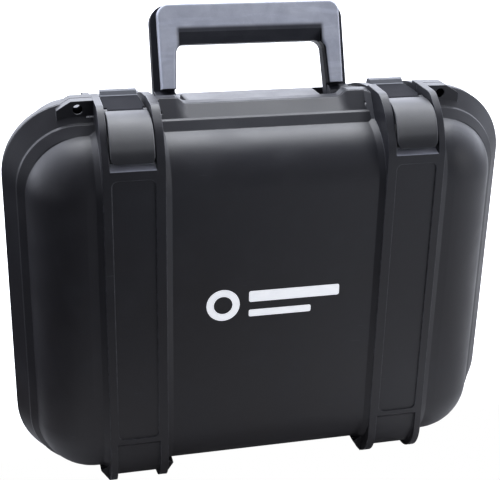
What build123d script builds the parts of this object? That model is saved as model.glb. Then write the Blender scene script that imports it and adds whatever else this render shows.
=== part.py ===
from build123d import *
import os
from math import cos, radians, sin, tan
from typing import NamedTuple

# Hard carrying case for a handheld thermal camera, in mm, standing on its hinge side.
# X across, Y back, Z up. y = 0 is the parting plane between the lid (front, -Y) and the base
# (back, +Y); z = 0 is the ground. On export the middle of the footprint moves to the origin.
# Both shells are modelled towards -Y; the base is mirrored to +Y as its last step.
# Features that come in pairs are described on the right (+X).

FOOTPRINT_Y = 22.75     # middle of the footprint

# ---- rims
GAP = 0.4               # half of the gap between the two rims
RIM_W = 176.0           # half width
RIM_Z0, RIM_Z1 = 4.0, 274.3
RIM_R = 50.0            # corner radius
RIM_T = 8.0             # depth of each rim
RIM_LOW = 269.9         # height of the rim between the handle legs
DIP_X0, DIP_X1 = 52.0, 60.6     # the rim rises from the dip between these

# ---- shells
ROOT_R = 42.0           # corner radius of the bulge where it leaves the rim
BULGE_Y = 4.0           # depth inside the rim at which the bulge starts
CAV_W, CAV_Z0, CAV_Z1, CAV_R = 160.5, 13.0, 255.5, 37.0     # half width, bottom, top, radius
CAV_OVER = 0.5          # the cavity cutter starts this far behind the parting plane
WALL = 3.5
SEAL_W, SEAL_D = 2.2, 2.8       # rebate for the seal
SEAL_SIDE = 0.05        # clearance round the seal
SEAL_FLOOR = 0.12       # clearance under the seal
SEAL_Y = GAP - 0.08     # back face of the seal

# ---- vertical bands that carry the latches, hinges and feet
BAND_P = 2.5            # how far a band stands proud of the shell
RIB_I, RIB_O = 74.5, 115.0      # outer faces of the two ribs
BAY_I, BAY_O = 80.2, 110.3      # bay between the ribs
BAY_MID = (BAY_I + BAY_O) / 2
SKIRT = 5.2             # width of the ramp at the root of a band
BAY_INSET = 1.0         # panel and hinge pin stop this far inside the bay
PANEL_Z0, PANEL_Z1, PANEL_R, PANEL_D = 44.1, 235.4, 4.0, 1.0
LEDGE_Z = 241.7         # front edge of the lid's finger ledge
LID_CHEEK_Z, BASE_CHEEK_Z = 277.3, 276.3    # tops of the cheeks
BAY_RIM_Z = 261.5       # the rim is cut down to this in the bays
RIB_FOOT_R = 26.0
BASE_TOP_R = 27.0       # top arc of the base's bands

# ---- padlock hole, pins and hinge; axes along X are given as (y, z)
LOCK_X, LOCK_Z, LOCK_R = 125.2, 271.4, 3.25
RUN = 0.05              # radial clearance of a running pin
SEAT = 0.02             # radial clearance of a pin seated in a shell
HINGE, HINGE_PIN_R, KNUCKLE_R = (0.0, 5.0), 1.6, 4.5
KNUCKLE_GAP = 0.6       # clearance round a knuckle
SWING_RELIEF = [(1.0, 3.0), (-2.7, 3.0), (-0.3, 6.4), (1.0, 6.4)]   # (y, z)
LEVER_PIN, LEVER_PIN_R = (-7.0, 265.5), 1.6
CLAW_PIN, CLAW_PIN_R = (-14.5, 269.4), 1.2
HANDLE_PIVOT, HANDLE_PIN_R = (29.0, 260.0), 3.0
LEAN = 20.5             # degrees the handle leans back at rest


class Pan(NamedTuple):
    """What differs between the two shells."""
    is_lid: bool
    depth: float        # parting plane to the flat outer plane
    taper: float        # draft in degrees
    edge_r: float       # fillet round the outer plane
    root_w: float       # half width of the bulge where it leaves the rim
    root_z0: float      # its bottom
    root_z1: float      # its top
    flare_y: float      # depth to which the flares above the feet run
    knuckles: tuple     # x spans of the hinge knuckles

    @property
    def band_y(self):
        return -(self.depth + BAND_P)


LID = Pan(True, 47.0, 14.0, 38.0, 164.6, 5.4, 259.0, 34.0,
          ((BAY_MID - 4.6, BAY_MID + 4.6),))
BASE = Pan(False, 92.5, 5.0, 28.0, 166.8, 7.8, 262.8, 82.0,
           ((BAY_I + 1.2, BAY_MID - 4.9), (BAY_MID + 4.9, BAY_O - 1.2)))


# ------------------------------------------------------------------ helpers
def polygon(points):
    return make_face(Polyline(*points, close=True))


def chain(*points):
    """Straight edges from point to point."""
    return [Line(a, b) for a, b in zip(points, points[1:])]


def extrude_x(face, x0, x1):
    """Extrude a (y, z) face between two x values, given in either order."""
    return extrude(Plane.YZ.offset(min(x0, x1)) * face, amount=abs(x1 - x0))


def prism_x(points, x0, x1):
    return extrude_x(polygon(points), x0, x1)


def cyl_x(axis, r, x0, x1):
    plane = Plane.YZ.offset(min(x0, x1))
    align = (Align.CENTER, Align.CENTER, Align.MIN)
    return plane * Location((*axis, 0)) * Cylinder(r, abs(x1 - x0), align=align)


def box(x0, x1, y0, y1, z0, z1):
    centre = Pos((x0 + x1) / 2, (y0 + y1) / 2, (z0 + z1) / 2)
    return centre * Box(abs(x1 - x0), abs(y1 - y0), abs(z1 - z0))


def slab(x0, x1, z0, z1, r, y0, y1):
    """Plate with rounded XZ corners, from y0 back to y1."""
    plane = Plane(origin=((x0 + x1) / 2, y0, (z0 + z1) / 2), x_dir=(1, 0, 0), z_dir=(0, 1, 0))
    return extrude(plane * RectangleRounded(abs(x1 - x0), z1 - z0, r), amount=y1 - y0)


def front_plane(y, z=0.0):
    return Plane(origin=(0, y, z), x_dir=(1, 0, 0), z_dir=(0, -1, 0))


def pan_block(half_w, z0, z1, r, y, depth, taper=0.0):
    """Rounded rectangle at y, extruded towards -Y."""
    face = front_plane(y, (z0 + z1) / 2) * RectangleRounded(2 * half_w, z1 - z0, r)
    return extrude(face, amount=depth, taper=taper)


def cavity_block(grow, r, y, depth, taper=0.0):
    """Block on the cavity's outline, grown on all sides."""
    return pan_block(CAV_W + grow, CAV_Z0 - grow, CAV_Z1 + grow, r, y, depth, taper)


def edges_at_y(solid, y, tolerance=1e-3):
    """Edges that lie wholly in the plane at y."""
    return solid.edges().filter_by(
        lambda e: abs(e.center().Y - y) < tolerance
        and abs(e.bounding_box().size.Y) < tolerance)


def mirror_x(solid):
    return mirror(solid, about=Plane.YZ)


def pin(axis, r, x0, x1, finish, size):
    """Pin along X; finish is the chamfer or fillet put on its ends."""
    body = cyl_x(axis, r, x0, x1)
    return finish(body.edges().filter_by(GeomType.CIRCLE), size)


# ------------------------------------------------------------------ shell body
def bulge(pan):
    """Crowned pan from inside the rim to its flat outer plane."""
    grow = BULGE_Y * tan(radians(pan.taper))
    body = pan_block(pan.root_w + grow, pan.root_z0 - grow, pan.root_z1 + grow, ROOT_R + grow,
                     -BULGE_Y, pan.depth - BULGE_Y, pan.taper)
    return fillet(edges_at_y(body, -pan.depth), pan.edge_r)


def cavity(pan):
    depth = pan.depth - WALL
    body = cavity_block(0.0, CAV_R, CAV_OVER, depth + CAV_OVER, pan.taper * 0.9)
    return fillet(edges_at_y(body, -depth), min(pan.edge_r - 4.0, 31.0))


def rim_outline(y, half_w, z0, z1, r):
    """Closed outline of the lid's flange at y, with the dip wherever the outline is tall enough."""
    low = min(RIM_LOW, z1)
    if low < z1:
        level = ((1, 0), (1, 0))
        rise = Spline((DIP_X0, low), (DIP_X1, z1), tangents=level)
        fall = Spline((-DIP_X1, z1), (-DIP_X0, low), tangents=level)
    else:
        rise = Line((DIP_X0, low), (DIP_X1, z1))
        fall = Line((-DIP_X1, z1), (-DIP_X0, low))
    diagonal = r * sin(radians(45.0))
    x_arc = half_w - r
    x_mid = x_arc + diagonal
    top_arc, top_mid = z1 - r, z1 - r + diagonal
    low_arc, low_mid = z0 + r, z0 + r - diagonal
    return front_plane(y) * Wire([
        Line((-DIP_X0, low), (DIP_X0, low)),
        rise,
        Line((DIP_X1, z1), (x_arc, z1)),
        ThreePointArc((x_arc, z1), (x_mid, top_mid), (half_w, top_arc)),
        Line((half_w, top_arc), (half_w, low_arc)),
        ThreePointArc((half_w, low_arc), (x_mid, low_mid), (x_arc, z0)),
        Line((x_arc, z0), (-x_arc, z0)),
        ThreePointArc((-x_arc, z0), (-x_mid, low_mid), (-half_w, low_arc)),
        Line((-half_w, low_arc), (-half_w, top_arc)),
        ThreePointArc((-half_w, top_arc), (-x_mid, top_mid), (-x_arc, z1)),
        Line((-x_arc, z1), (-DIP_X1, z1)),
        fall])


# y, half width, bottom, top, corner radius
LID_RIM_STATIONS = [
    (0.0, RIM_W, RIM_Z0, RIM_Z1, RIM_R),    # thin edge
    (-1.2, RIM_W, RIM_Z0, RIM_Z1, RIM_R),
    (-11.2, 167.7, 5.6, 262.9, 43.0),       # foot of the slope: raised bead
    (-13.2, 167.1, 6.2, 262.3, 42.4),
    (-18.6, 161.0, 12.3, 256.2, 36.3),      # end of the chamfer, inside the bulge
]


def lid_rim():
    outlines = [rim_outline(*station) for station in LID_RIM_STATIONS]
    lofts = [Solid.make_loft(list(pair), ruled=True) for pair in zip(outlines, outlines[1:])]
    rim = lofts[0]
    for part in lofts[1:]:
        rim = rim + part
    return rim


def base_rim():
    """Plain band of full depth, cut down between the handle legs."""
    rim = pan_block(RIM_W, RIM_Z0, RIM_Z1, RIM_R, 0.0, RIM_T)
    rim = fillet(edges_at_y(rim, -RIM_T), 1.6)
    edge_z, cutter_z = RIM_Z1 + 0.05, RIM_Z1 + 3
    level = ((1, 0), (1, 0))
    rise = Spline((DIP_X0, RIM_LOW), (DIP_X1, edge_z), tangents=level)
    fall = Spline((-DIP_X1, edge_z), (-DIP_X0, RIM_LOW), tangents=level)
    over = chain((DIP_X1, edge_z), (DIP_X1, cutter_z), (-DIP_X1, cutter_z), (-DIP_X1, edge_z))
    floor = Line((-DIP_X0, RIM_LOW), (DIP_X0, RIM_LOW))
    dip = make_face(Wire([rise, *over, fall, floor]))
    return rim - extrude(Plane.XZ * dip, amount=20, both=True)


# ------------------------------------------------------------------ bands
def rib_face(pan):
    """Closed (y, z) outline of a rib."""
    y = pan.band_y
    if pan.is_lid:
        start = Line((0.0, LID_CHEEK_Z), (-20.3, LID_CHEEK_Z))
        top = Spline((-20.3, LID_CHEEK_Z), (-30.2, 273.1), (-39.0, 265.2), (-44.6, 256.0),
                     (y, 238.0), tangents=((-1, -0.02), (0, -1)))
        front = [Line((y, 238.0), (y, RIB_FOOT_R))]
    else:
        arc_y, arc_z = y + BASE_TOP_R, 233.4
        start = Line((0.0, BASE_CHEEK_Z), (-9.0, 275.2))
        top = Spline((-9.0, 275.2), (-24.0, 272.4), (-38.0, 268.0), (-52.0, 262.9),
                     (arc_y, arc_z + BASE_TOP_R), tangents=((-1, -0.15), (-1, -0.05)))
        arc = CenterArc((arc_y, arc_z), BASE_TOP_R, 90, 90)
        front = [arc, Line(arc @ 1, (y, RIB_FOOT_R))]
    foot = CenterArc((y + RIB_FOOT_R, RIB_FOOT_R), RIB_FOOT_R, 180, 90)
    back = chain(foot @ 1, (-RIM_T, 0.0), (-RIM_T, 14.0), (0.0, 14.0), start @ 0)
    return make_face(Wire([start, top, *front, foot, *back]))


def band_middle(pan):
    """Band between its ribs: panel, ledge at the top and the recess between the feet."""
    y = pan.band_y
    if pan.is_lid:
        head = chain((-RIM_T, 246.0), (-40.5, 244.9), (y, LEDGE_Z), (y, 40.5))
    else:
        arc_y, arc_z = y + BASE_TOP_R, 231.8
        arc = CenterArc((arc_y, arc_z), BASE_TOP_R, 90, 90)
        head = chain((-RIM_T, 246.0), (-33.0, 253.0), (-37.5, 262.0),
                     (arc_y, arc_z + BASE_TOP_R))
        head += [arc, Line(arc @ 1, (y, 40.5))]
    recess = Spline((y + 2.1, 38.0), (y + 4.0, 21.0), (y + 12.0, 9.0), (y + 26.0, 4.6),
                    tangents=((0, -1), (1, -0.05)))
    tail = [Line((y, 40.5), (y + 2.1, 38.0)), recess]
    tail += chain((y + 26.0, 4.6), (-RIM_T, 4.6), (-RIM_T, 246.0))
    overlap = 0.2
    return extrude_x(make_face(Wire(head + tail)), BAY_I - overlap, BAY_O + overlap)


def bulge_section(pan, grow):
    """Closed (y, z) section of the bulge, grown by the given distance."""
    draft = radians(pan.taper)
    half_turn = (draft + radians(90.0)) / 2     # middle of the corner arc
    shift = grow / cos(draft)
    r = pan.edge_r + grow
    front_y = -pan.depth - grow
    arc_y = front_y + r
    back_y = -7.5

    def rise(y):
        return (-RIM_T - y) * tan(draft)

    def top_z(y):
        return pan.root_z1 - rise(y) + shift

    def low_z(y):
        return pan.root_z0 + rise(y) - shift

    def on_arc(arc_z, angle, up):
        return (arc_y - r * sin(angle), arc_z + up * r * cos(angle))

    top_c = top_z(arc_y) - r / cos(draft)
    low_c = low_z(arc_y) + r / cos(draft)
    top = ThreePointArc(on_arc(top_c, draft, 1), on_arc(top_c, half_turn, 1), (front_y, top_c))
    low = ThreePointArc((front_y, low_c), on_arc(low_c, half_turn, -1), on_arc(low_c, draft, -1))
    return make_face(Wire([
        Line((back_y, top_z(back_y)), top @ 0),
        top,
        Line((front_y, top_c), (front_y, low_c)),
        low,
        *chain(low @ 1, (back_y, low_z(back_y)), (back_y, top_z(back_y)))]))


def skirt(pan, x_shell, x_band):
    """Ramp along X from the shell's surface up to the side of the band."""
    sunk = 0.5
    low = Plane.YZ.offset(x_shell) * bulge_section(pan, -sunk)
    high = Plane.YZ.offset(x_band) * bulge_section(pan, BAND_P - sunk)
    return loft([low, high], ruled=True)


def lock_tab():
    face = polygon([(BAY_O, 262.0), (BAY_O, LID_CHEEK_Z - 0.2), (129.4, LID_CHEEK_Z - 0.5),
                    (132.8, 274.9), (139.0, 271.0), (139.0, 262.0)])
    corners = face.vertices().filter_by(
        lambda v: abs(v.X - 129.4) < 0.1 or abs(v.X - 132.8) < 0.1)
    return extrude(Plane.XZ * fillet(corners, 1.4), amount=RIM_T)


def foot_flares(pan):
    """Wedges on both sides of a band, above its feet."""
    start = RIM_T + 0.5
    outer, inner = RIB_O - 0.3, RIB_I + 0.3
    return [extrude(Plane.XZ.offset(start) * polygon(points), amount=pan.flare_y - start)
            for points in ([(outer, 1.2), (RIB_O + 6.0, 10.5), (outer, 14.0)],
                           [(inner, 1.2), (inner, 14.0), (RIB_I - 6.0, 10.5)])]


def lid_gusset():
    """From the flange's slope to the inner side of the band."""
    wires = []
    for z, width, back_y, front_y in ((257.5, 7.0, -12.0, -19.5), (273.9, 3.6, -0.9, -8.0)):
        corners = ((RIB_I - width, back_y), (RIB_I + 0.4, back_y), (RIB_I + 0.4, front_y))
        wires.append(Plane.XY.offset(z) * Wire(Polyline(*corners, close=True)))
    return Solid.make_loft(wires, ruled=True)


def band_parts(pan):
    """Everything added to the right-hand side of a shell."""
    face = rib_face(pan)
    parts = [extrude_x(face, BAY_O, RIB_O), extrude_x(face, RIB_I, BAY_I), band_middle(pan),
             skirt(pan, RIB_I - SKIRT, RIB_I + 0.1), skirt(pan, RIB_O + SKIRT, RIB_O - 0.1),
             lock_tab(), *foot_flares(pan)]
    if pan.is_lid:
        parts.append(lid_gusset())
    return parts


# ------------------------------------------------------------------ shells
def add_hinge(body, pan, side):
    """Clear the bay round the hinge axis, then add the knuckles and bore them."""
    hinge_z = HINGE[1]
    x0, x1 = side * BAY_I, side * BAY_O
    body = body - cyl_x(HINGE, KNUCKLE_R + KNUCKLE_GAP, x0, x1)
    web = [(-GAP, hinge_z), (-GAP, 9.0), (-2.5, 10.6), (-9.0, 12.0), (-9.0, hinge_z - 0.6),
           (-2.5, hinge_z - 0.6)]
    for near, far in pan.knuckles:
        span = (side * near, side * far)
        body = body + cyl_x(HINGE, KNUCKLE_R, *span) + prism_x(web, *span)
    return body - cyl_x(HINGE, HINGE_PIN_R + RUN, x0, x1)


def shell(pan):
    body = bulge(pan) + (lid_rim() if pan.is_lid else base_rim())
    for part in band_parts(pan):
        body = body + part + mirror_x(part)
    # hollow, parting plane and seal rebate
    body = body - cavity(pan)
    body = body - box(-200, 200, -GAP, 5, -5, 300)
    if pan.is_lid:
        body = body - cavity_block(SEAL_W + SEAL_SIDE, CAV_R + SEAL_W, 0.0, GAP + SEAL_D)
    for side in (1, -1):
        # latch bay, padlock hole and inset panel
        body = body - box(side * BAY_I, side * BAY_O, -20.0, 1, BAY_RIM_Z, 300)
        body = body - Pos(side * LOCK_X, 0, LOCK_Z) * Rot(90, 0, 0) * Cylinder(LOCK_R, 40)
        body = body - slab(side * (BAY_I + BAY_INSET), side * (BAY_O - BAY_INSET),
                           PANEL_Z0, PANEL_Z1, PANEL_R, pan.band_y, pan.band_y + PANEL_D)
        body = add_hinge(body, pan, side)
    # relief on the lower inner edge of the rim so that it can swing
    return body - (prism_x(SWING_RELIEF, -200, -BAY_O) + prism_x(SWING_RELIEF, -BAY_I, BAY_I)
                   + prism_x(SWING_RELIEF, BAY_O, 200))


def lid_shell():
    body = shell(LID)
    for side in (1, -1):
        body = body - cyl_x(LEVER_PIN, LEVER_PIN_R + SEAT, side * 70.2, side * 120.3)
    return body


# (y, z) outlines on the base
CATCH = [(-9.5, 256.0), (-9.5, 265.2), (-10.5, 266.4), (-15.0, 266.4), (-16.5, 264.8),
         (-16.5, 256.0)]
HANDLE_BLOCK = [(-72.5, 244.5), (-72.5, 251.5), (-13.5, 256.5), (-13.5, 244.5)]
HANDLE_CHEEK = [(-7.0, 250.0), (-7.0, 271.0), (-20.0, 270.5), (-37.0, 266.5), (-46.0, 262.0),
                (-46.0, 250.0)]
PLATEAU = [(-2.5, 253.0), (-2.5, 267.4), (-43.5, 264.7), (-46.5, 261.5), (-46.5, 253.0)]
CATCH_W = 12.5          # half width of a catch ridge
PLATEAU_W = 48.4        # half width of the plateau between the handle legs
BLOCK_I, BLOCK_O = 44.0, 76.0
POCKET_I, POCKET_O = 49.6, 71.4     # pocket for a handle leg


def base_shell():
    body = shell(BASE)
    for side in (1, -1):
        middle = side * BAY_MID
        body = body + prism_x(CATCH, middle - CATCH_W, middle + CATCH_W)
    for side in (1, -1):
        body = body + prism_x(HANDLE_BLOCK, side * BLOCK_I, side * BLOCK_O)
        body = body + prism_x(HANDLE_CHEEK, side * POCKET_O, side * BLOCK_O)
    plateau = prism_x(PLATEAU, -PLATEAU_W, PLATEAU_W)
    upper_ends = plateau.edges().filter_by(
        lambda e: abs(abs(e.center().X) - PLATEAU_W) < 0.01 and e.center().Z > 264.8)
    body = body + fillet(upper_ends, 2.0)
    pivot = (-HANDLE_PIVOT[0], HANDLE_PIVOT[1])     # the base is still towards -Y here
    for side in (1, -1):
        body = body - box(side * POCKET_I, side * POCKET_O, -69.0, -17.0, 248.0, 300.0)
        body = body - cyl_x(pivot, HANDLE_PIN_R + SEAT, side * 44.5, side * 77.5)
    return mirror(body, about=Plane.XZ)


def lid_seal():
    depth = SEAL_Y + GAP + SEAL_D - SEAL_FLOOR
    outer = cavity_block(SEAL_W, CAV_R + SEAL_W - SEAL_SIDE, SEAL_Y, depth)
    return outer - cavity_block(0.1, CAV_R, 2.0, 10.0)


# ------------------------------------------------------------------ draw latch, about x = 0
LEVER_W = 14.25         # half width of the lever
EAR_X0, EAR_X1 = 11.7, 14.2
CLAW_W = 12.2           # half width of the claw's lip
BARREL_W, BARREL_R = 11.4, 3.0
# (y, z) splines of the lever's outer and inner skins
LEVER_OUTER = [(-18.3, 272.4), (-26.0, 272.3), (-35.6, 269.9), (-42.2, 264.6), (-46.4, 256.6),
               (-48.7, 246.2)]
LEVER_INNER = [(-45.6, 246.4), (-43.4, 256.0), (-39.8, 262.8), (-34.2, 267.2), (-26.0, 269.3),
               (-19.6, 269.6)]
EAR = [(-33.5, 267.0), (-24.0, 271.0), (-14.5, 271.0), (-7.0, 267.4), (-7.0, 263.2),
       (-16.0, 262.0), (-30.0, 263.5)]      # (y, z)
# (x, -y)
CLAW_TOP = [(-11.4, 14.5), (11.4, 14.5), (11.4, 11.4), (13.3, 10.2), (12.3, -24.0),
            (-12.3, -24.0), (-13.3, 10.2), (-11.4, 11.4)]
CLAW_TOP_Z, CLAW_TOP_T = 269.5, 2.9
CLAW_LIP = [(18.5, 272.0), (20.4, 274.9), (23.0, 275.6), (26.0, 274.6), (27.2, 271.5),
            (26.4, 268.8), (22.0, 268.8), (22.0, 267.0), (17.6, 267.0), (17.6, 270.0)]  # (y, z)


def latch_lever():
    outer = Spline(*LEVER_OUTER, tangents=((-1, 0.02), (-0.12, -1)))
    inner = Spline(*LEVER_INNER, tangents=((0.14, 1), (1, 0)))
    face = make_face(Wire([outer, Line(LEVER_OUTER[-1], LEVER_INNER[0]),
                           inner, Line(LEVER_INNER[-1], LEVER_OUTER[0])]))
    plate = extrude_x(face, -LEVER_W, LEVER_W)
    long_edges = plate.edges().filter_by(
        lambda e: abs(abs(e.center().X) - LEVER_W) < 0.01 and e.length > 20
        and e.center().Z > 262.0)
    plate = fillet(long_edges, 0.8)
    # clipped lower corners
    clip = polygon([(LEVER_W - 3.4, 244.0), (LEVER_W + 1, 244.0), (LEVER_W + 1, 251.5)])
    clip = extrude(Plane.XZ * clip, amount=60)
    plate = plate - clip - mirror_x(clip)
    # an ear on each side carries both pins
    ear = (prism_x(EAR, EAR_X0, EAR_X1) + cyl_x(CLAW_PIN, 3.0, EAR_X0, EAR_X1)
           + cyl_x(LEVER_PIN, 3.1, EAR_X0, EAR_X1))
    ear = ear - box(10, 16, -12.2, 0, 268.9, 275)
    lever = plate + ear + mirror_x(ear)
    # clearance for the claw's barrel, then the pin bores
    lever = lever - cyl_x(CLAW_PIN, BARREL_R + 0.5, -11.6, 11.6)
    return (lever - cyl_x(CLAW_PIN, CLAW_PIN_R + RUN, -20, 20)
            - cyl_x(LEVER_PIN, LEVER_PIN_R + RUN, -20, 20))


def latch_claw():
    barrel = cyl_x(CLAW_PIN, BARREL_R, -BARREL_W, BARREL_W)
    top = Plane.XY.offset(CLAW_TOP_Z) * mirror(polygon(CLAW_TOP), about=Plane.XZ)
    claw = extrude(top, amount=CLAW_TOP_T) + barrel
    lip = polygon(CLAW_LIP)
    lip = fillet(lip.vertices().filter_by(lambda v: v.Y > 271.0 and v.X > 20.0), 0.8)
    claw = claw + extrude_x(lip, -CLAW_W, CLAW_W)
    return claw - cyl_x(CLAW_PIN, CLAW_PIN_R + RUN, -20, 20)


# ------------------------------------------------------------------ handle
# Built upright: pivot at the origin, legs along +Z, front towards -Y.
HANDLE_HALF_T = 10.0
GRIP_Y = 1.06           # the grip starts this far in front of the pivot, the frame ends at 1.0
LEG_I, LEG_O = 55.0, 69.4       # bosses at the feet of the legs
# (x, z) outlines
FRAME = [(-68.9, 52.0), (-68.9, 69.1), (68.9, 69.1), (68.9, 52.0), (LEG_O, -1.0),
         (LEG_I, -1.0), (53.2, 42.0), (-53.2, 42.0), (-LEG_I, -1.0), (-LEG_O, -1.0)]
GRIP = [(-64.6, 68.7), (64.6, 68.7), (64.6, 11.0), (54.5, 11.0), (52.7, 41.5), (-52.7, 41.5),
        (-54.5, 11.0), (-64.6, 11.0)]
GRIP_WEDGE = [(-11.5, 51.0), (-3.2, 40.49), (-11.5, 40.49)]     # (y, z)


def round_corners(face, height, r):
    """Fillet the corners of an (x, z) face at the given height."""
    return fillet(face.vertices().filter_by(lambda v: abs(v.Y - height) < 0.1), r)


def place_handle(solid):
    return Pos(0, *HANDLE_PIVOT) * Rot(-LEAN, 0, 0) * solid


def handle_frame():
    face = round_corners(polygon(FRAME), 69.1, 12.0)
    face = round_corners(face, 42.0, 7.0)
    frame = extrude(Plane.XZ.offset(-HANDLE_HALF_T) * face, amount=HANDLE_HALF_T + 1.0)
    back = edges_at_y(frame, HANDLE_HALF_T, 0.01).filter_by(lambda e: e.center().Z > 0)
    frame = fillet(back, 2.5)
    for side in (1, -1):
        frame = frame + cyl_x((0, 0), HANDLE_HALF_T, side * LEG_I, side * LEG_O)
    return place_handle(frame - cyl_x((0, 0), HANDLE_PIN_R + RUN, -90, 90))


def handle_grip():
    face = round_corners(polygon(GRIP), 68.7, 8.0)
    face = round_corners(face, 41.5, 7.0)
    grip = extrude(Plane.XZ.offset(GRIP_Y) * face, amount=HANDLE_HALF_T - GRIP_Y)
    inner = edges_at_y(grip, -HANDLE_HALF_T, 0.01).filter_by(
        lambda e: 11.5 < e.center().Z < 46.0 and abs(e.center().X) < 54.4)
    grip = fillet(inner, 2.5)
    grip = grip - prism_x(GRIP_WEDGE, -50.8, 50.8)
    outer = edges_at_y(grip, -HANDLE_HALF_T, 0.01).filter_by(
        lambda e: e.center().Z > 66.0 or abs(e.center().X) > 62.0)
    return place_handle(fillet(outer, 1.6))


# ------------------------------------------------------------------ foam and mark
# x0, x1, y0, y1, z0, z1
FOAM_POCKETS = [
    (-123, 123, 3, 76, 66, 206),
    (-123, 20, 3, 50, 212, 232),
    (-123, -10, 3, 50, 37, 60),
    (8, 123, 3, 50, 37, 60),
    (36, 123, 3, 50, 212, 232),
]


def foam_insert():
    foam = slab(-146.0, 146.0, 30.5, 240.0, 32.0, 4.0, 81.0)
    for pocket in FOAM_POCKETS:
        foam = foam - box(*pocket)
    return foam


def front_mark():
    """A ring and two bars on the front of the lid."""
    plane = front_plane(-LID.depth - 0.02, 141.0)
    ring = plane * (Pos(-36, 0) * (Circle(11.5) - Circle(6.5)))
    upper_bar = plane * (Pos(14, 5.0) * RectangleRounded(64, 8.0, 1.5))
    lower_bar = plane * (Pos(4, -7.5) * RectangleRounded(44, 5.0, 1.2))
    return Compound([extrude(face, amount=0.3) for face in (ring, upper_bar, lower_bar)])


# ------------------------------------------------------------------ pieces
pieces = {
    "lid_shell": lid_shell(),
    "base_shell": base_shell(),
    "lid_seal": lid_seal(),
    "handle_frame": handle_frame(),
    "handle_grip": handle_grip(),
    "foam_insert": foam_insert(),
    "foam_floor": slab(-138.0, 138.0, 38.5, 234.0, 22.0, 81.6, 85.6),
    "foam_lid": slab(-135.0, 135.0, 41.0, 231.0, 28.0, -39.0, -2.0),
    "front_mark": front_mark(),
}
for name, side in (("left", -1), ("right", 1)):
    to_bay = Pos(side * BAY_MID, 0, 0)
    pieces[f"latch_lever_{name}"] = to_bay * latch_lever()
    pieces[f"latch_claw_{name}"] = to_bay * latch_claw()
    pieces[f"claw_pin_{name}"] = to_bay * pin(
        CLAW_PIN, CLAW_PIN_R, -EAR_X1, EAR_X1, chamfer, 0.3)
    pieces[f"lever_pin_{name}"] = to_bay * pin(
        LEVER_PIN, LEVER_PIN_R, -24.6, 24.6, fillet, 0.7)
    pieces[f"hinge_pin_{name}"] = pin(
        HINGE, HINGE_PIN_R, side * (BAY_I + BAY_INSET), side * (BAY_O - BAY_INSET), fillet, 0.6)
    pieces[f"handle_pin_{name}"] = pin(
        HANDLE_PIVOT, HANDLE_PIN_R, side * 45.0, side * 77.0, chamfer, 0.5)

os.makedirs("parts", exist_ok=True)
for name, solid in pieces.items():
    export_step(Pos(0, -FOOTPRINT_Y, 0) * solid, f"parts/{name}.step")
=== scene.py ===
# A black moulded carrying case with foam inside, standing upright on the floor (z = 0).
# X runs across it, +Z up to the handle. The lid and its latches face -Y, the base is
# behind it at +Y. Metres throughout.
import math

import bmesh
import bpy
import numpy as np
from mathutils import Matrix, Vector


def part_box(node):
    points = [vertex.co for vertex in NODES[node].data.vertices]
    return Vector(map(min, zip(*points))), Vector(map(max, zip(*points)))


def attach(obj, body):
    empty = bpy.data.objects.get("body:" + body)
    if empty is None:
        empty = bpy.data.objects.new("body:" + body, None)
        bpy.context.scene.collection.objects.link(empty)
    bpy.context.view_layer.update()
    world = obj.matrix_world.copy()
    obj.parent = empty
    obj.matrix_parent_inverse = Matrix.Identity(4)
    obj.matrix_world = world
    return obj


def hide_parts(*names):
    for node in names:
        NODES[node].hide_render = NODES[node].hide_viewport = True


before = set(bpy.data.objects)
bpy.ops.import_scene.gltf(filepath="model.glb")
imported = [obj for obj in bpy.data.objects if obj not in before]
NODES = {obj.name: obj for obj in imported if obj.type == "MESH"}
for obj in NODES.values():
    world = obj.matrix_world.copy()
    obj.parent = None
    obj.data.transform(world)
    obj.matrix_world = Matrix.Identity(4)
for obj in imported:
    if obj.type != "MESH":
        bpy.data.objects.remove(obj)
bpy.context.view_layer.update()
scene = bpy.context.scene

# Shell details that are coloured by place
EYE_X, EYE_Z = 0.1252, 0.2714           # centre of each padlock eye
EYE_RADIUS = 0.0036
EYE_FRONT_Y = -0.0297                   # the painted shade inside each eye starts behind this
LEDGE_X = (0.0805, 0.1100)              # finger ledges under the levers, painted pale as a highlight
LEDGE_Z = (0.2416, 0.2452)
LEDGE_BACK_Y = -0.0640
CLAW_HOOK_Y = (-0.0065, -0.0045)        # the claw turns into its hook here
LEVER_CROWN_Z = (0.2725, 0.261)         # the lever's crown grows downwards over this
# Painted shade on the grip
GRIP_LOW_Z = (0.3142, 0.3112)
GRIP_LOW_X = (0.0535, 0.0500)
GRIP_LOW_BOTTOM_Z = 0.298

# Convoluted lid foam
PEG_PITCH = 0.0225
PEG_DEPTH = 0.0145
PEG_SINK = 0.0005                       # the whole pegged area lies this far back
PEG_FACE_DEPTH = 0.0045                 # vertices this near the +Y face are shaped
PEG_BORDER = 0.004                      # flat rim
PEG_FADE = 0.008                        # rim to full pegs
LID_FOAM_CORNER = 0.028                 # corner radius


# ------------------------------------------------------------------ shader writer
def tint(colour, gain, lift=0.0):
    return tuple(min(1.0, c * gain + lift) for c in colour)


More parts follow.
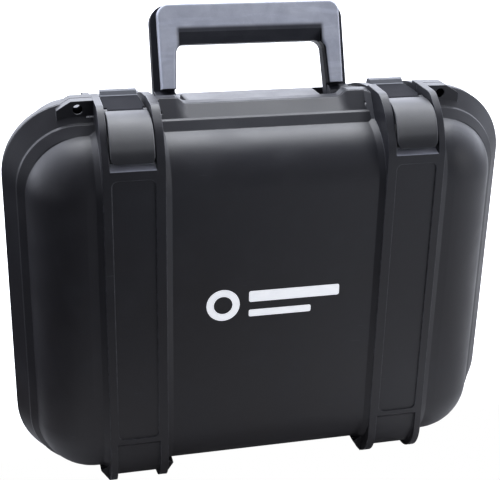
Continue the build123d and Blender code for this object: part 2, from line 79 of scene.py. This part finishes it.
class Graph:
    """A small writer of shader nodes; values may be numbers, colours or sockets."""

    def __init__(self, tree):
        self.tree = tree
        tree.nodes.clear()

    def put(self, socket, value):
        if isinstance(value, bpy.types.NodeSocket):
            self.tree.links.new(value, socket)
        elif socket.type == "RGBA":
            socket.default_value = (*value, 1.0)
        else:
            socket.default_value = value

    def node(self, kind, inputs=None, **props):
        """A new node, with its properties set before its inputs."""
        made = self.tree.nodes.new(kind)
        for key, value in props.items():
            setattr(made, key, value)
        for key, value in (inputs or {}).items():
            self.put(made.inputs[key], value)
        return made

    def shader(self, kind, inputs=None):
        return self.node("ShaderNode" + kind, inputs).outputs[0]

    def math(self, operation, a, b=None, clamp=False):
        inputs = {0: a} if b is None else {0: a, 1: b}
        return self.node("ShaderNodeMath", inputs, operation=operation, use_clamp=clamp).outputs[0]

    def add(self, a, b):
        return self.math("ADD", a, b)

    def mul(self, a, b):
        return self.math("MULTIPLY", a, b)

    def inverse(self, a):
        return self.math("SUBTRACT", 1.0, a)

    def above(self, a, limit):
        return self.math("GREATER_THAN", a, limit)

    def below(self, a, limit):
        return self.math("LESS_THAN", a, limit)

    def between(self, a, limits):
        return self.mul(self.above(a, limits[0]), self.below(a, limits[1]))

    def ramp(self, value, span, to=(0.0, 1.0), kind="SMOOTHSTEP"):
        """Carries value from the range span to the range to, clamped."""
        return self.node("ShaderNodeMapRange", {
            "Value": value, "From Min": span[0], "From Max": span[1],
            "To Min": to[0], "To Max": to[1],
        }, interpolation_type=kind, clamp=True).outputs["Result"]

    def xyz(self, vector):
        return self.node("ShaderNodeSeparateXYZ", {0: vector}).outputs

    def mix_shader(self, factor, a, b):
        return self.shader("MixShader", {0: factor, 1: a, 2: b})


class Material(Graph):
    """A material whose textures lie in object space."""

    def __init__(self, name):
        self.material = bpy.data.materials.new(name)
        self.material.use_nodes = True
        super().__init__(self.material.node_tree)
        self.out = self.node("ShaderNodeOutputMaterial")
        self.place = self.node("ShaderNodeTexCoord").outputs["Object"]

    def noise(self, scale, detail=2.0, rough=0.5, warp=0.0, place=None):
        return self.node("ShaderNodeTexNoise", {
            "Vector": place or self.place, "Scale": scale, "Detail": detail,
            "Roughness": rough, "Distortion": warp,
        }).outputs["Fac"]

    def voronoi(self, scale, feature="F1"):
        inputs = {"Vector": self.place, "Scale": scale}
        return self.node("ShaderNodeTexVoronoi", inputs, feature=feature).outputs["Distance"]

    def stretched(self, scale, rotation=(0.0, 0.0, 0.0)):
        """Object coordinates turned and scaled per axis."""
        inputs = {"Vector": self.place, "Rotation": rotation, "Scale": scale}
        return self.node("ShaderNodeMapping", inputs).outputs[0]

    def vector_math(self, operation, inputs, out="Vector"):
        return self.node("ShaderNodeVectorMath", inputs, operation=operation).outputs[out]

    def mix(self, mask, under, over, amount=None):
        """Lays one colour over another where the mask is high, at most by amount."""
        factor = mask if amount is None else self.mul(mask, amount)
        inputs = {0: factor, 6: under, 7: over}
        return self.node("ShaderNodeMix", inputs, data_type="RGBA").outputs[2]

    def bump(self, height, depth, strength, normal=None):
        inputs = {"Height": height, "Distance": depth, "Strength": strength}
        if normal is not None:
            inputs["Normal"] = normal
        return self.node("ShaderNodeBump", inputs).outputs["Normal"]

    def rounded(self, radius, samples=6):
        """The normal with sharp edges rounded."""
        return self.node("ShaderNodeBevel", {"Radius": radius}, samples=samples).outputs["Normal"]

    def edges(self, rounded):
        """Mask of the sharp edges: where the rounded normal leaves the true one."""
        true_normal = self.node("ShaderNodeNewGeometry").outputs["Normal"]
        likeness = self.vector_math("DOT_PRODUCT", {0: rounded, 1: true_normal}, out="Value")
        return self.ramp(likeness, span=(0.985, 0.86))

    def finish(self, colour, rough, normal, metal=0.0, spec=0.5, sheen=0.0, glow=0.0):
        inputs = {
            "Base Color": colour, "Roughness": rough, "Metallic": metal,
            "Specular IOR Level": spec, "IOR": 1.46, "Normal": normal,
        }
        if glow:
            inputs.update({"Emission Color": colour, "Emission Strength": glow})
        if sheen:
            inputs.update({"Sheen Weight": sheen, "Sheen Roughness": 0.6})
        self.put(self.out.inputs["Surface"], self.shader("BsdfPrincipled", inputs))
        return self.material


# ------------------------------------------------------------------ moulded plastic
def crowned(t, z, rounded, crown):
    """A soft crown on the lever's face, so that its highlight runs further down it."""
    up = t.node("ShaderNodeCombineXYZ", {2: t.ramp(z, span=LEVER_CROWN_Z, to=(0.0, crown))})
    lean = t.node("ShaderNodeVectorTransform", {0: up.outputs[0]},
                  vector_type="VECTOR", convert_from="OBJECT", convert_to="WORLD")
    tilted = t.vector_math("ADD", {0: rounded, 1: lean.outputs[0]})
    return t.vector_math("NORMALIZE", {0: tilted})


def paint_eye_shade(t, place, colour, rough, spec):
    """Painted shade: the inside of each padlock eye is coloured near black, with no specular, so
    the eyes read deep.
    """
    x, y, z = place
    across = t.math("SUBTRACT", t.math("ABSOLUTE", x), EYE_X)
    upward = t.math("SUBTRACT", z, EYE_Z)
    distance = t.math("SQRT", t.add(t.mul(across, across), t.mul(upward, upward)))
    eye_shade = t.mul(t.below(distance, EYE_RADIUS), t.above(y, EYE_FRONT_Y))
    colour = t.mix(eye_shade, colour, (0.004, 0.004, 0.005))
    return colour, t.math("MAXIMUM", rough, eye_shade), t.mul(t.inverse(eye_shade), spec)


def paint_ledge_highlight(t, place, colour, cloud):
    """Painted highlight: the finger ledges under the levers are coloured pale, patchily, as if
    lit.
    """
    x, y, z = place
    height_and_front = t.mul(t.between(z, LEDGE_Z), t.below(y, LEDGE_BACK_Y))
    ledge_highlight = t.mul(t.between(t.math("ABSOLUTE", x), LEDGE_X), height_and_front)
    patchy = t.ramp(cloud, span=(0.3, 0.7), to=(0.75, 1.0))
    return t.mix(t.mul(ledge_highlight, patchy), colour, (0.42, 0.43, 0.50))


def moulded(name, cool, warm, light, rough, grain, edge_wear_and_highlight, scale=1500.0, spec=0.5,
            radius=0.0009, eye_shade_and_ledge_light=False, crown=0.0, lit_hook=False):
    """Spark-eroded plastic: fine grain, slow colour drift, handled patches, and edges lightened
    partly as rubbed wear and partly as painted highlight.
    """
    t = Material(name)
    place = t.xyz(t.place)
    x, y, z = place
    rounded = t.rounded(radius)
    edges = t.edges(rounded)
    cells = t.voronoi(scale, feature="SMOOTH_F1")
    fine = t.noise(scale=scale * 1.7, detail=3.0, rough=0.65)
    speck = t.noise(scale=scale * 0.72, detail=1.0)
    drift = t.noise(scale=9.0, detail=3.0, rough=0.55, warp=0.4)
    cloud = t.noise(scale=42.0, detail=4.0, rough=0.6)

    # cooler towards the top, a little warmer low down, with slow drift and light specks
    rise = t.ramp(z, span=(0.02, 0.27), to=(0.0, 0.85), kind="LINEAR")
    sway = t.ramp(drift, span=(0.35, 0.65), to=(-0.15, 0.2))
    colour = t.mix(t.math("ADD", rise, sway, clamp=True), warm, cool)
    colour = t.mix(t.ramp(fine, span=(0.57, 0.75), to=(0.0, 0.55)), colour, light)
    colour = t.mix(t.ramp(cloud, span=(0.45, 0.75), to=(0.0, 0.12)), colour, light)

    # rubbed edges, broken up by noise: partly real wear, partly a painted highlight standing for
    # the thin light lines along the edges
    broken = t.noise(scale=180.0, detail=4.0, rough=0.7)
    worn_and_lit_edges = t.mul(edges, t.ramp(broken, span=(0.38, 0.66), to=(0.25, 1.0)))
    colour = t.mix(worn_and_lit_edges, colour, tint(light, gain=2.4, lift=0.035), amount=edge_wear_and_highlight)

    # short scuffs
    slanted = t.stretched(scale=(30.0, 260.0, 700.0), rotation=(0.3, 0.5, 0.9))
    streaks = t.ramp(t.noise(scale=1.0, warp=0.2, place=slanted), span=(0.70, 0.76))
    scuff = t.mul(streaks, t.ramp(cloud, span=(0.5, 0.68)))
    colour = t.mix(scuff, colour, tint(light, gain=2.0, lift=0.02), amount=0.25)

    # roughness varies with the patches and the grain; rubbed edges are glossier
    rub_gloss = 0.08
    rough = t.add(rough, t.ramp(cloud, span=(0.35, 0.7), to=(-0.035, 0.045)))
    rough = t.add(rough, t.ramp(fine, span=(0.3, 0.7), to=(-0.05, 0.05)))
    rough = t.math("SUBTRACT", rough, t.mul(worn_and_lit_edges, rub_gloss))

    if crown:
        rounded = crowned(t, z, rounded, crown)
    # share of each grain in the relief
    cell_share, fine_share, speck_share = 0.55, 0.35, 0.5
    small_grain = t.add(t.mul(fine, fine_share), t.mul(speck, speck_share))
    height = t.add(t.mul(cells, cell_share), small_grain)
    normal = t.bump(height, depth=0.00012, strength=grain, normal=rounded)
    # painted shade inside the padlock eyes and painted highlight on the finger ledges
    if eye_shade_and_ledge_light:
        colour, rough, spec = paint_eye_shade(t, place, colour, rough, spec)
        colour = paint_ledge_highlight(t, place, colour, cloud)
    if lit_hook:
        # painted highlight: the hook at the back of the claw is coloured paler, as lit, and given
        # more specular; the plate in front of it stays dull
        hook_shine = 0.5
        hook_highlight = t.ramp(y, span=CLAW_HOOK_Y)
        colour = t.mix(hook_highlight, colour, (0.22, 0.23, 0.26), amount=0.6)
        spec = t.add(spec, t.mul(hook_highlight, hook_shine))
    return t.finish(colour, rough, normal, spec=spec)


# ------------------------------------------------------------------ other materials
def paint_grip_shade(t, colour, spec):
    """Painted shade: the grip's underside, the inner faces of its legs and a low band in its
    middle are darkened and lose their specular.
    """
    normal_x, _, normal_z = t.xyz(t.node("ShaderNodeTexCoord").outputs["Normal"])
    x, _, z = t.xyz(t.place)
    under = t.ramp(normal_z, span=(-0.15, -0.45))
    side = t.ramp(t.mul(normal_x, t.math("SIGN", x)), span=(-0.55, -0.85))
    middle = t.ramp(t.math("ABSOLUTE", x), span=GRIP_LOW_X)
    low = t.mul(t.ramp(z, span=GRIP_LOW_Z), t.mul(middle, t.above(z, GRIP_LOW_BOTTOM_Z)))
    low_darkness, dulling = 0.9, 0.9
    dark = t.math("MAXIMUM", t.math("MAXIMUM", under, side), t.mul(low, low_darkness))
    colour = t.mix(dark, colour, (0.010, 0.010, 0.013))
    return colour, t.mul(t.inverse(t.mul(dark, dulling)), spec)


def rubber(name, dark, light, rough, scale=1800.0, shaded_grip=False):
    """Soft-touch rubber: very fine matt skin, faint flow lines and polish from the hand."""
    t = Material(name)
    rounded = t.rounded(radius=0.0007, samples=4)
    edges = t.edges(rounded)
    fine = t.noise(scale=scale, detail=3.0, rough=0.6)
    cloud = t.noise(scale=55.0, detail=4.0, rough=0.6, warp=0.3)
    flow = t.stretched(scale=(16.0, 90.0, 120.0))
    streak = t.noise(scale=1.0, detail=4.0, rough=0.6, warp=0.6, place=flow)
    colour = t.mix(t.ramp(cloud, span=(0.3, 0.7)), dark, light)
    streaks = t.ramp(streak, span=(0.45, 0.75), to=(0.0, 0.3))
    colour = t.mix(streaks, colour, tint(light, gain=1.5))
    specks = t.ramp(fine, span=(0.55, 0.8), to=(0.0, 0.35))
    colour = t.mix(specks, colour, tint(light, gain=1.7))
    # painted highlight: the sharp edges are lightened
    colour = t.mix(edges, colour, tint(light, gain=2.0, lift=0.02), amount=0.3)
    rough = t.add(rough, t.ramp(cloud, span=(0.35, 0.7), to=(-0.07, 0.05)))
    fine_share, streak_share = 0.6, 0.25  # in the relief
    height = t.add(t.mul(fine, fine_share), t.mul(streak, streak_share))
    spec = 0.4
    # painted shade on the grip
    if shaded_grip:
        colour, spec = paint_grip_shade(t, colour, spec)
    normal = t.bump(height, depth=0.0001, strength=0.12, normal=rounded)
    return t.finish(colour, rough, normal, spec=spec)


def steel(name, base, rough):
    """Turned steel pin: rings round its axis (X) and a slightly dull film."""
    t = Material(name)
    rounded = t.rounded(radius=0.0003, samples=4)
    turned = t.stretched(scale=(9000.0, 240.0, 240.0))
    rings = t.noise(scale=1.0, detail=3.0, rough=0.6, place=turned)
    film = t.noise(scale=700.0, detail=3.0, rough=0.6)
    colour = t.mix(t.ramp(film, span=(0.35, 0.75)), base, tint(base, gain=0.72))
    bright_rings = t.ramp(rings, span=(0.3, 0.7), to=(0.0, 0.35))
    colour = t.mix(bright_rings, colour, tint(base, gain=1.2))
    rough = t.add(rough, t.ramp(film, span=(0.3, 0.7), to=(-0.05, 0.12)))
    normal = t.bump(rings, depth=0.00004, strength=0.35, normal=rounded)
    return t.finish(colour, rough, normal, metal=1.0)


def open_foam(name, dark, light, pore=900.0):
    """Open-cell foam: pores of two sizes and lighter cell walls."""
    t = Material(name)
    cells = t.voronoi(pore)
    small = t.voronoi(pore * 2.3)
    cloud = t.noise(scale=30.0, detail=3.0, rough=0.6)
    colour = t.mix(t.ramp(cells, span=(0.05, 0.55)), dark, light)
    pits = t.ramp(small, span=(0.1, 0.6), to=(0.35, 0.0))
    colour = t.mix(pits, colour, tint(dark, gain=0.4))
    patches = t.ramp(cloud, span=(0.4, 0.7), to=(0.0, 0.25))
    colour = t.mix(patches, colour, tint(light, gain=1.35))
    cell_share, small_share = 0.7, 0.3  # in the relief
    height = t.add(t.mul(cells, cell_share), t.mul(small, small_share))
    rough = t.ramp(cloud, span=(0.3, 0.7), to=(0.9, 1.0))
    normal = t.bump(height, depth=0.0007, strength=0.8)
    return t.finish(colour, rough, normal, spec=0.15, sheen=0.25)


def printed(name):
    """Screen-printed white ink: slightly uneven cover, tiny pinholes, satin."""
    t = Material(name)
    fine = t.noise(scale=2200.0, detail=3.0, rough=0.7)
    cloud = t.noise(scale=160.0, detail=4.0, rough=0.6)
    thin = t.ramp(cloud, span=(0.35, 0.7), to=(0.0, 0.5))
    colour = t.mix(thin, (0.90, 0.91, 0.93), (0.78, 0.80, 0.84))
    pinholes = t.ramp(fine, span=(0.66, 0.78), to=(0.0, 0.5))
    colour = t.mix(pinholes, colour, (0.42, 0.43, 0.46))
    rough = t.ramp(cloud, span=(0.3, 0.7), to=(0.42, 0.55))
    normal = t.bump(fine, depth=0.00005, strength=0.25)
    # the ink also glows a little (emission strength 0.5): painted light that keeps the print
    # bright
    return t.finish(colour, rough, normal, spec=0.4, glow=0.5)


SHELL = moulded(
    "shell_plastic", cool=(0.0150, 0.0155, 0.0205), warm=(0.0175, 0.0150, 0.0165),
    light=(0.048, 0.049, 0.058), rough=0.43, grain=0.28, edge_wear_and_highlight=0.6, eye_shade_and_ledge_light=True)
LATCH = moulded(
    "latch_plastic", cool=(0.0155, 0.0160, 0.0205), warm=(0.0165, 0.0155, 0.0180),
    light=(0.046, 0.047, 0.055), rough=0.42, grain=0.2, edge_wear_and_highlight=0.6, scale=1700.0,
    radius=0.0006, crown=0.72)
CLAW = moulded(
    "claw_plastic", cool=(0.0140, 0.0145, 0.0180), warm=(0.0150, 0.0145, 0.0165),
    light=(0.042, 0.043, 0.05), rough=0.72, grain=0.10, edge_wear_and_highlight=0.8, scale=2100.0,
    spec=0.03, radius=0.0005, lit_hook=True)
HANDLE = moulded(
    "handle_plastic", cool=(0.0210, 0.0220, 0.0290), warm=(0.0200, 0.0205, 0.0260),
    light=(0.055, 0.057, 0.068), rough=0.45, grain=0.08, edge_wear_and_highlight=0.35, scale=2000.0,
    spec=0.28, radius=0.0007)
GRIP = rubber("grip_rubber", dark=(0.44, 0.46, 0.54), light=(0.56, 0.58, 0.66),
              rough=0.46, shaded_grip=True)
SEAL = rubber("seal_rubber", dark=(0.012, 0.012, 0.013), light=(0.020, 0.020, 0.022),
              rough=0.6, scale=2600.0)
STEEL = steel("pin_steel", base=(0.70, 0.70, 0.71), rough=0.26)
FOAM = open_foam("foam_charcoal", dark=(0.012, 0.012, 0.013), light=(0.060, 0.060, 0.065))
FOAM_LID = open_foam("foam_lid_charcoal", dark=(0.014, 0.014, 0.016),
                     light=(0.070, 0.070, 0.077), pore=760.0)
INK = printed("mark_ink")

BY_NAME = {
    "lid_shell": SHELL, "base_shell": SHELL, "handle_frame": HANDLE,
    "handle_grip": GRIP, "front_mark": INK, "lid_seal": SEAL,
}


def material_for(name):
    if name in BY_NAME:
        return BY_NAME[name]
    if name.startswith("latch_lever"):
        return LATCH
    return CLAW if name.startswith("latch_claw") else STEEL


for node_name, cad_object in NODES.items():
    cad_object.data.materials.clear()
    cad_object.data.materials.append(material_for(node_name))


# ------------------------------------------------------------------ foam
def even_mesh(node, voxel):
    """A clean even quad mesh in the shape of a CAD node."""
    welded = bmesh.new()
    welded.from_mesh(NODES[node].data)
    bmesh.ops.remove_doubles(welded, verts=welded.verts, dist=1e-6)
    source = bpy.data.meshes.new("tmp")
    welded.to_mesh(source)
    welded.free()
    holder = bpy.data.objects.new("tmp", source)
    scene.collection.objects.link(holder)
    remesh = holder.modifiers.new("remesh", "REMESH")
    remesh.mode = "VOXEL"
    remesh.voxel_size = voxel
    bpy.context.view_layer.update()
    evaluated = holder.evaluated_get(bpy.context.evaluated_depsgraph_get())
    mesh = bpy.data.meshes.new_from_object(evaluated)
    bpy.data.objects.remove(holder)
    return mesh


def soften(mesh, steps):
    """Rounds the cut edges."""
    smooth = bmesh.new()
    smooth.from_mesh(mesh)
    for _ in range(steps):
        bmesh.ops.smooth_vert(smooth, verts=smooth.verts, factor=0.5,
                              use_axis_x=True, use_axis_y=True, use_axis_z=True)
    smooth.to_mesh(mesh)
    smooth.free()


def lattice_noise(points, scale, seed):
    """Smooth value noise from -0.5 to 0.5, from an integer hash of the lattice corners."""
    scaled = points * scale + seed * 17.13
    cell = np.floor(scaled).astype(np.int64)
    part = scaled - cell
    part = part * part * (3 - 2 * part)
    total = np.zeros(len(points))
    for corner in np.ndindex(2, 2, 2):
        dx, dy, dz = corner
        key = ((cell[:, 0] + dx) * 374761393 + (cell[:, 1] + dy) * 668265263
               + (cell[:, 2] + dz) * 2147483647 + seed * 974711)
        key = (key ^ (key >> 13)) * 1274126177
        value = ((key ^ (key >> 16)) & 0xFFFF) / 65535.0
        wx, wy, wz = (part[:, i] if far else 1 - part[:, i] for i, far in enumerate(corner))
        total += wx * wy * wz * value
    return total - 0.5


def vertex_data(mesh, key):
    values = np.zeros(len(mesh.vertices) * 3, np.float64)
    mesh.vertices.foreach_get(key, values)
    return values.reshape(-1, 3)


def egg_crate(points, normals, low, high):
    """Convoluted +Y face: rounded pegs on a square pitch inside a flat border."""
    x, y, z = points.T
    middle = (low + high) / 2
    straight = (high - low) / 2 - LID_FOAM_CORNER
    face = (y > high[1] - PEG_FACE_DEPTH) & (normals[:, 1] > 0.3)
    column = (x - middle[0]) / PEG_PITCH
    row = (z - middle[2]) / PEG_PITCH
    peg = 0.5 + 0.25 * (np.cos(2 * np.pi * column) + np.cos(2 * np.pi * row))
    # distance to the outline, with its rounded corners
    inset = np.minimum.reduce([x - low[0], high[0] - x, z - low[2], high[2] - z])
    corner = np.hypot(np.maximum(np.abs(x - middle[0]) - straight[0], 0),
                      np.maximum(np.abs(z - middle[2]) - straight[2], 0))
    inset = np.where(corner > 0.0, np.minimum(inset, LID_FOAM_CORNER - corner), inset)
    keep = np.clip((inset - PEG_BORDER) / PEG_FADE, 0, 1)
    shaped = points.copy()
    shaped[:, 1] -= np.where(face, keep * PEG_DEPTH * (1 - peg) + keep * PEG_SINK, 0.0)
    return shaped


def foam_block(name, node, body, voxel, lumps, shape=None, material=FOAM):
    """A softened foam piece in place of a CAD node; lumps is the depth of its unevenness."""
    mesh = even_mesh(node, voxel)
    soften(mesh, steps=5)
    points = vertex_data(mesh, "co")
    normals = vertex_data(mesh, "normal")
    low, high = (np.array(corner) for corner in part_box(node))
    if shape is not None:
        points = shape(points, normals, low, high)
    # always inwards, so that the piece stays in its own space
    coarse = lattice_noise(points, scale=90.0, seed=3)
    fine = lattice_noise(points, scale=260.0, seed=5)
    offset = (coarse * 0.6 + fine * 0.4) * lumps - lumps * 0.5
    points = np.clip(points + normals * offset[:, None], low, high)
    mesh.vertices.foreach_set("co", points.astype(np.float32).ravel())
    mesh.update()

    block = bpy.data.objects.new(name, mesh)
    scene.collection.objects.link(block)
    mesh.materials.clear()
    mesh.materials.append(material)
    for polygon in mesh.polygons:
        polygon.use_smooth = True
    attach(block, body)
    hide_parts(node)


foam_block("foam_lid_soft", "foam_lid", "lid", voxel=0.0024, lumps=0.0005,
           shape=egg_crate, material=FOAM_LID)
foam_block("foam_insert_soft", "foam_insert", "base", voxel=0.0026, lumps=0.0006)
foam_block("foam_floor_soft", "foam_floor", "base", voxel=0.0022, lumps=0.0004)


# ------------------------------------------------------------------ floor
def floor_material():
    """White to the camera; to other rays a grey that varies round the case."""
    material = bpy.data.materials.new("floor")
    material.use_nodes = True
    t = Graph(material.node_tree)
    geometry = t.node("ShaderNodeNewGeometry").outputs
    x, y, _ = t.xyz(geometry["Position"])

    # grey seen by other rays: painted light, lighter to the right and close to the case, which
    # brightens the case's reflections and bounce there
    rightward = t.ramp(x, span=(-0.2, 0.5), to=(0.03, 0.42))
    near = t.ramp(y, span=(-0.34, -0.08), to=(0.0, 0.52))
    beside = t.ramp(t.math("ABSOLUTE", x), span=(0.27, 0.15))
    grey = t.shader("BsdfDiffuse", {"Color": t.add(rightward, t.mul(near, beside))})

    # the case opens forwards and down past the floor, so the camera sees through the floor
    # in front of it, and every ray passes it from below
    diffuse = t.shader("BsdfDiffuse", {"Color": (0.80, 0.80, 0.81)})
    lift = t.shader("Emission", {"Color": (1, 1, 1), "Strength": 0.62})
    white = t.shader("AddShader", {0: diffuse, 1: lift})
    clear = t.shader("BsdfTransparent")
    seen = t.mix_shader(t.ramp(y, span=(-0.018, 0.035)), clear, white)
    camera_ray = t.node("ShaderNodeLightPath").outputs["Is Camera Ray"]
    from_above = t.mix_shader(camera_ray, grey, seen)
    surface = t.mix_shader(geometry["Backfacing"], from_above, clear)
    t.node("ShaderNodeOutputMaterial", {"Surface": surface})
    return material


def build_floor():
    disc = bmesh.new()
    bmesh.ops.create_circle(disc, cap_ends=True, radius=6.0, segments=96)
    mesh = bpy.data.meshes.new("floor")
    disc.to_mesh(mesh)
    disc.free()
    # the material needs the front of the disc to face up
    if mesh.polygons[0].normal.z < 0:
        mesh.flip_normals()
    floor = bpy.data.objects.new("floor", mesh)
    floor.location = (0, 0, -0.0003)
    mesh.materials.append(floor_material())
    scene.collection.objects.link(floor)


build_floor()


# ------------------------------------------------------------------ world
def build_world():
    """A pale studio, bright behind and above and quieter in front, so that the black
    plastic reads from its reflections. The camera sees plain white."""
    world = bpy.data.worlds.new("studio")
    scene.world = world
    world.use_nodes = True
    t = Graph(world.node_tree)
    x, y, z = t.xyz(t.node("ShaderNodeTexCoord").outputs["Generated"])
    ambient = 0.15
    behind = t.ramp(y, span=(-0.30, 0.52), to=(0.0, 4.1))
    upper = t.ramp(z, span=(-0.10, 0.16), to=(0.25, 1.0))
    strength = t.mul(behind, upper)
    front = t.ramp(y, span=(0.1, -0.5))
    right = t.mul(t.ramp(x, span=(-0.05, 0.62), to=(0.0, 0.42)), front)
    left = t.mul(t.ramp(x, span=(-0.52, -0.92), to=(0.0, 0.72)), front)
    strength = t.add(strength, t.add(t.add(right, left), ambient))
    studio = t.shader("Background", {"Color": (0.855, 0.89, 1.0), "Strength": strength})
    white = t.shader("Background", {"Color": (1, 1, 1), "Strength": 1.0})
    camera_ray = t.node("ShaderNodeLightPath").outputs["Is Camera Ray"]
    surface = t.mix_shader(camera_ray, studio, white)
    t.node("ShaderNodeOutputWorld", {"Surface": surface})


build_world()


# ------------------------------------------------------------------ lights and camera
def area_light(name, at, look_at, width, height, power, colour=(1, 1, 1)):
    data = bpy.data.lights.new(name, "AREA")
    data.shape = "RECTANGLE"
    data.size = width
    data.size_y = height
    data.energy = power
    data.color = colour
    light = bpy.data.objects.new(name, data)
    light.location = at
    light.rotation_mode = "QUATERNION"
    light.rotation_quaternion = (Vector(look_at) - Vector(at)).to_track_quat("-Z", "Y")
    scene.collection.objects.link(light)
    light.visible_camera = False


area_light("key_top", at=(0.10, 0.35, 1.25), look_at=(0, 0, 0.2),
           width=1.2, height=0.7, power=16.0, colour=(0.96, 0.98, 1.0))
area_light("fill_right", at=(1.2, -0.9, 0.7), look_at=(0, 0, 0.15),
           width=0.6, height=0.9, power=3.0)

CAMERA_AT = (-0.18401, -0.73411, 0.47903)
CAMERA_ROLL, CAMERA_PITCH, CAMERA_YAW = 1.32, 23.04, -14.01   # degrees
CAMERA_LENS = 80.548416                                       # mm, on a 36 mm sensor


def build_camera():
    # the untilted camera looks along +Y; the rows are its right, down and forward
    level = Matrix(((1, 0, 0), (0, 0, -1), (0, 1, 0)))
    view = (Matrix.Rotation(math.radians(CAMERA_ROLL), 3, "Z")
            @ Matrix.Rotation(math.radians(CAMERA_PITCH), 3, "X")
            @ Matrix.Rotation(math.radians(CAMERA_YAW), 3, "Y") @ level)
    right, down, forward = (Vector(row) for row in view)
    pose = Matrix((right, -down, -forward)).transposed().to_4x4()
    pose.translation = Vector(CAMERA_AT)
    data = bpy.data.cameras.new("camera")
    data.sensor_width = 36.0
    data.lens = CAMERA_LENS
    data.clip_start = 0.05
    data.clip_end = 50.0
    camera = bpy.data.objects.new("camera", data)
    scene.collection.objects.link(camera)
    camera.matrix_world = pose
    scene.camera = camera


build_camera()

scene.view_settings.view_transform = "Standard"
scene.view_settings.look = "None"
scene.cycles.use_denoising = True
scene.cycles.max_bounces = 6

bpy.context.view_layer.update()
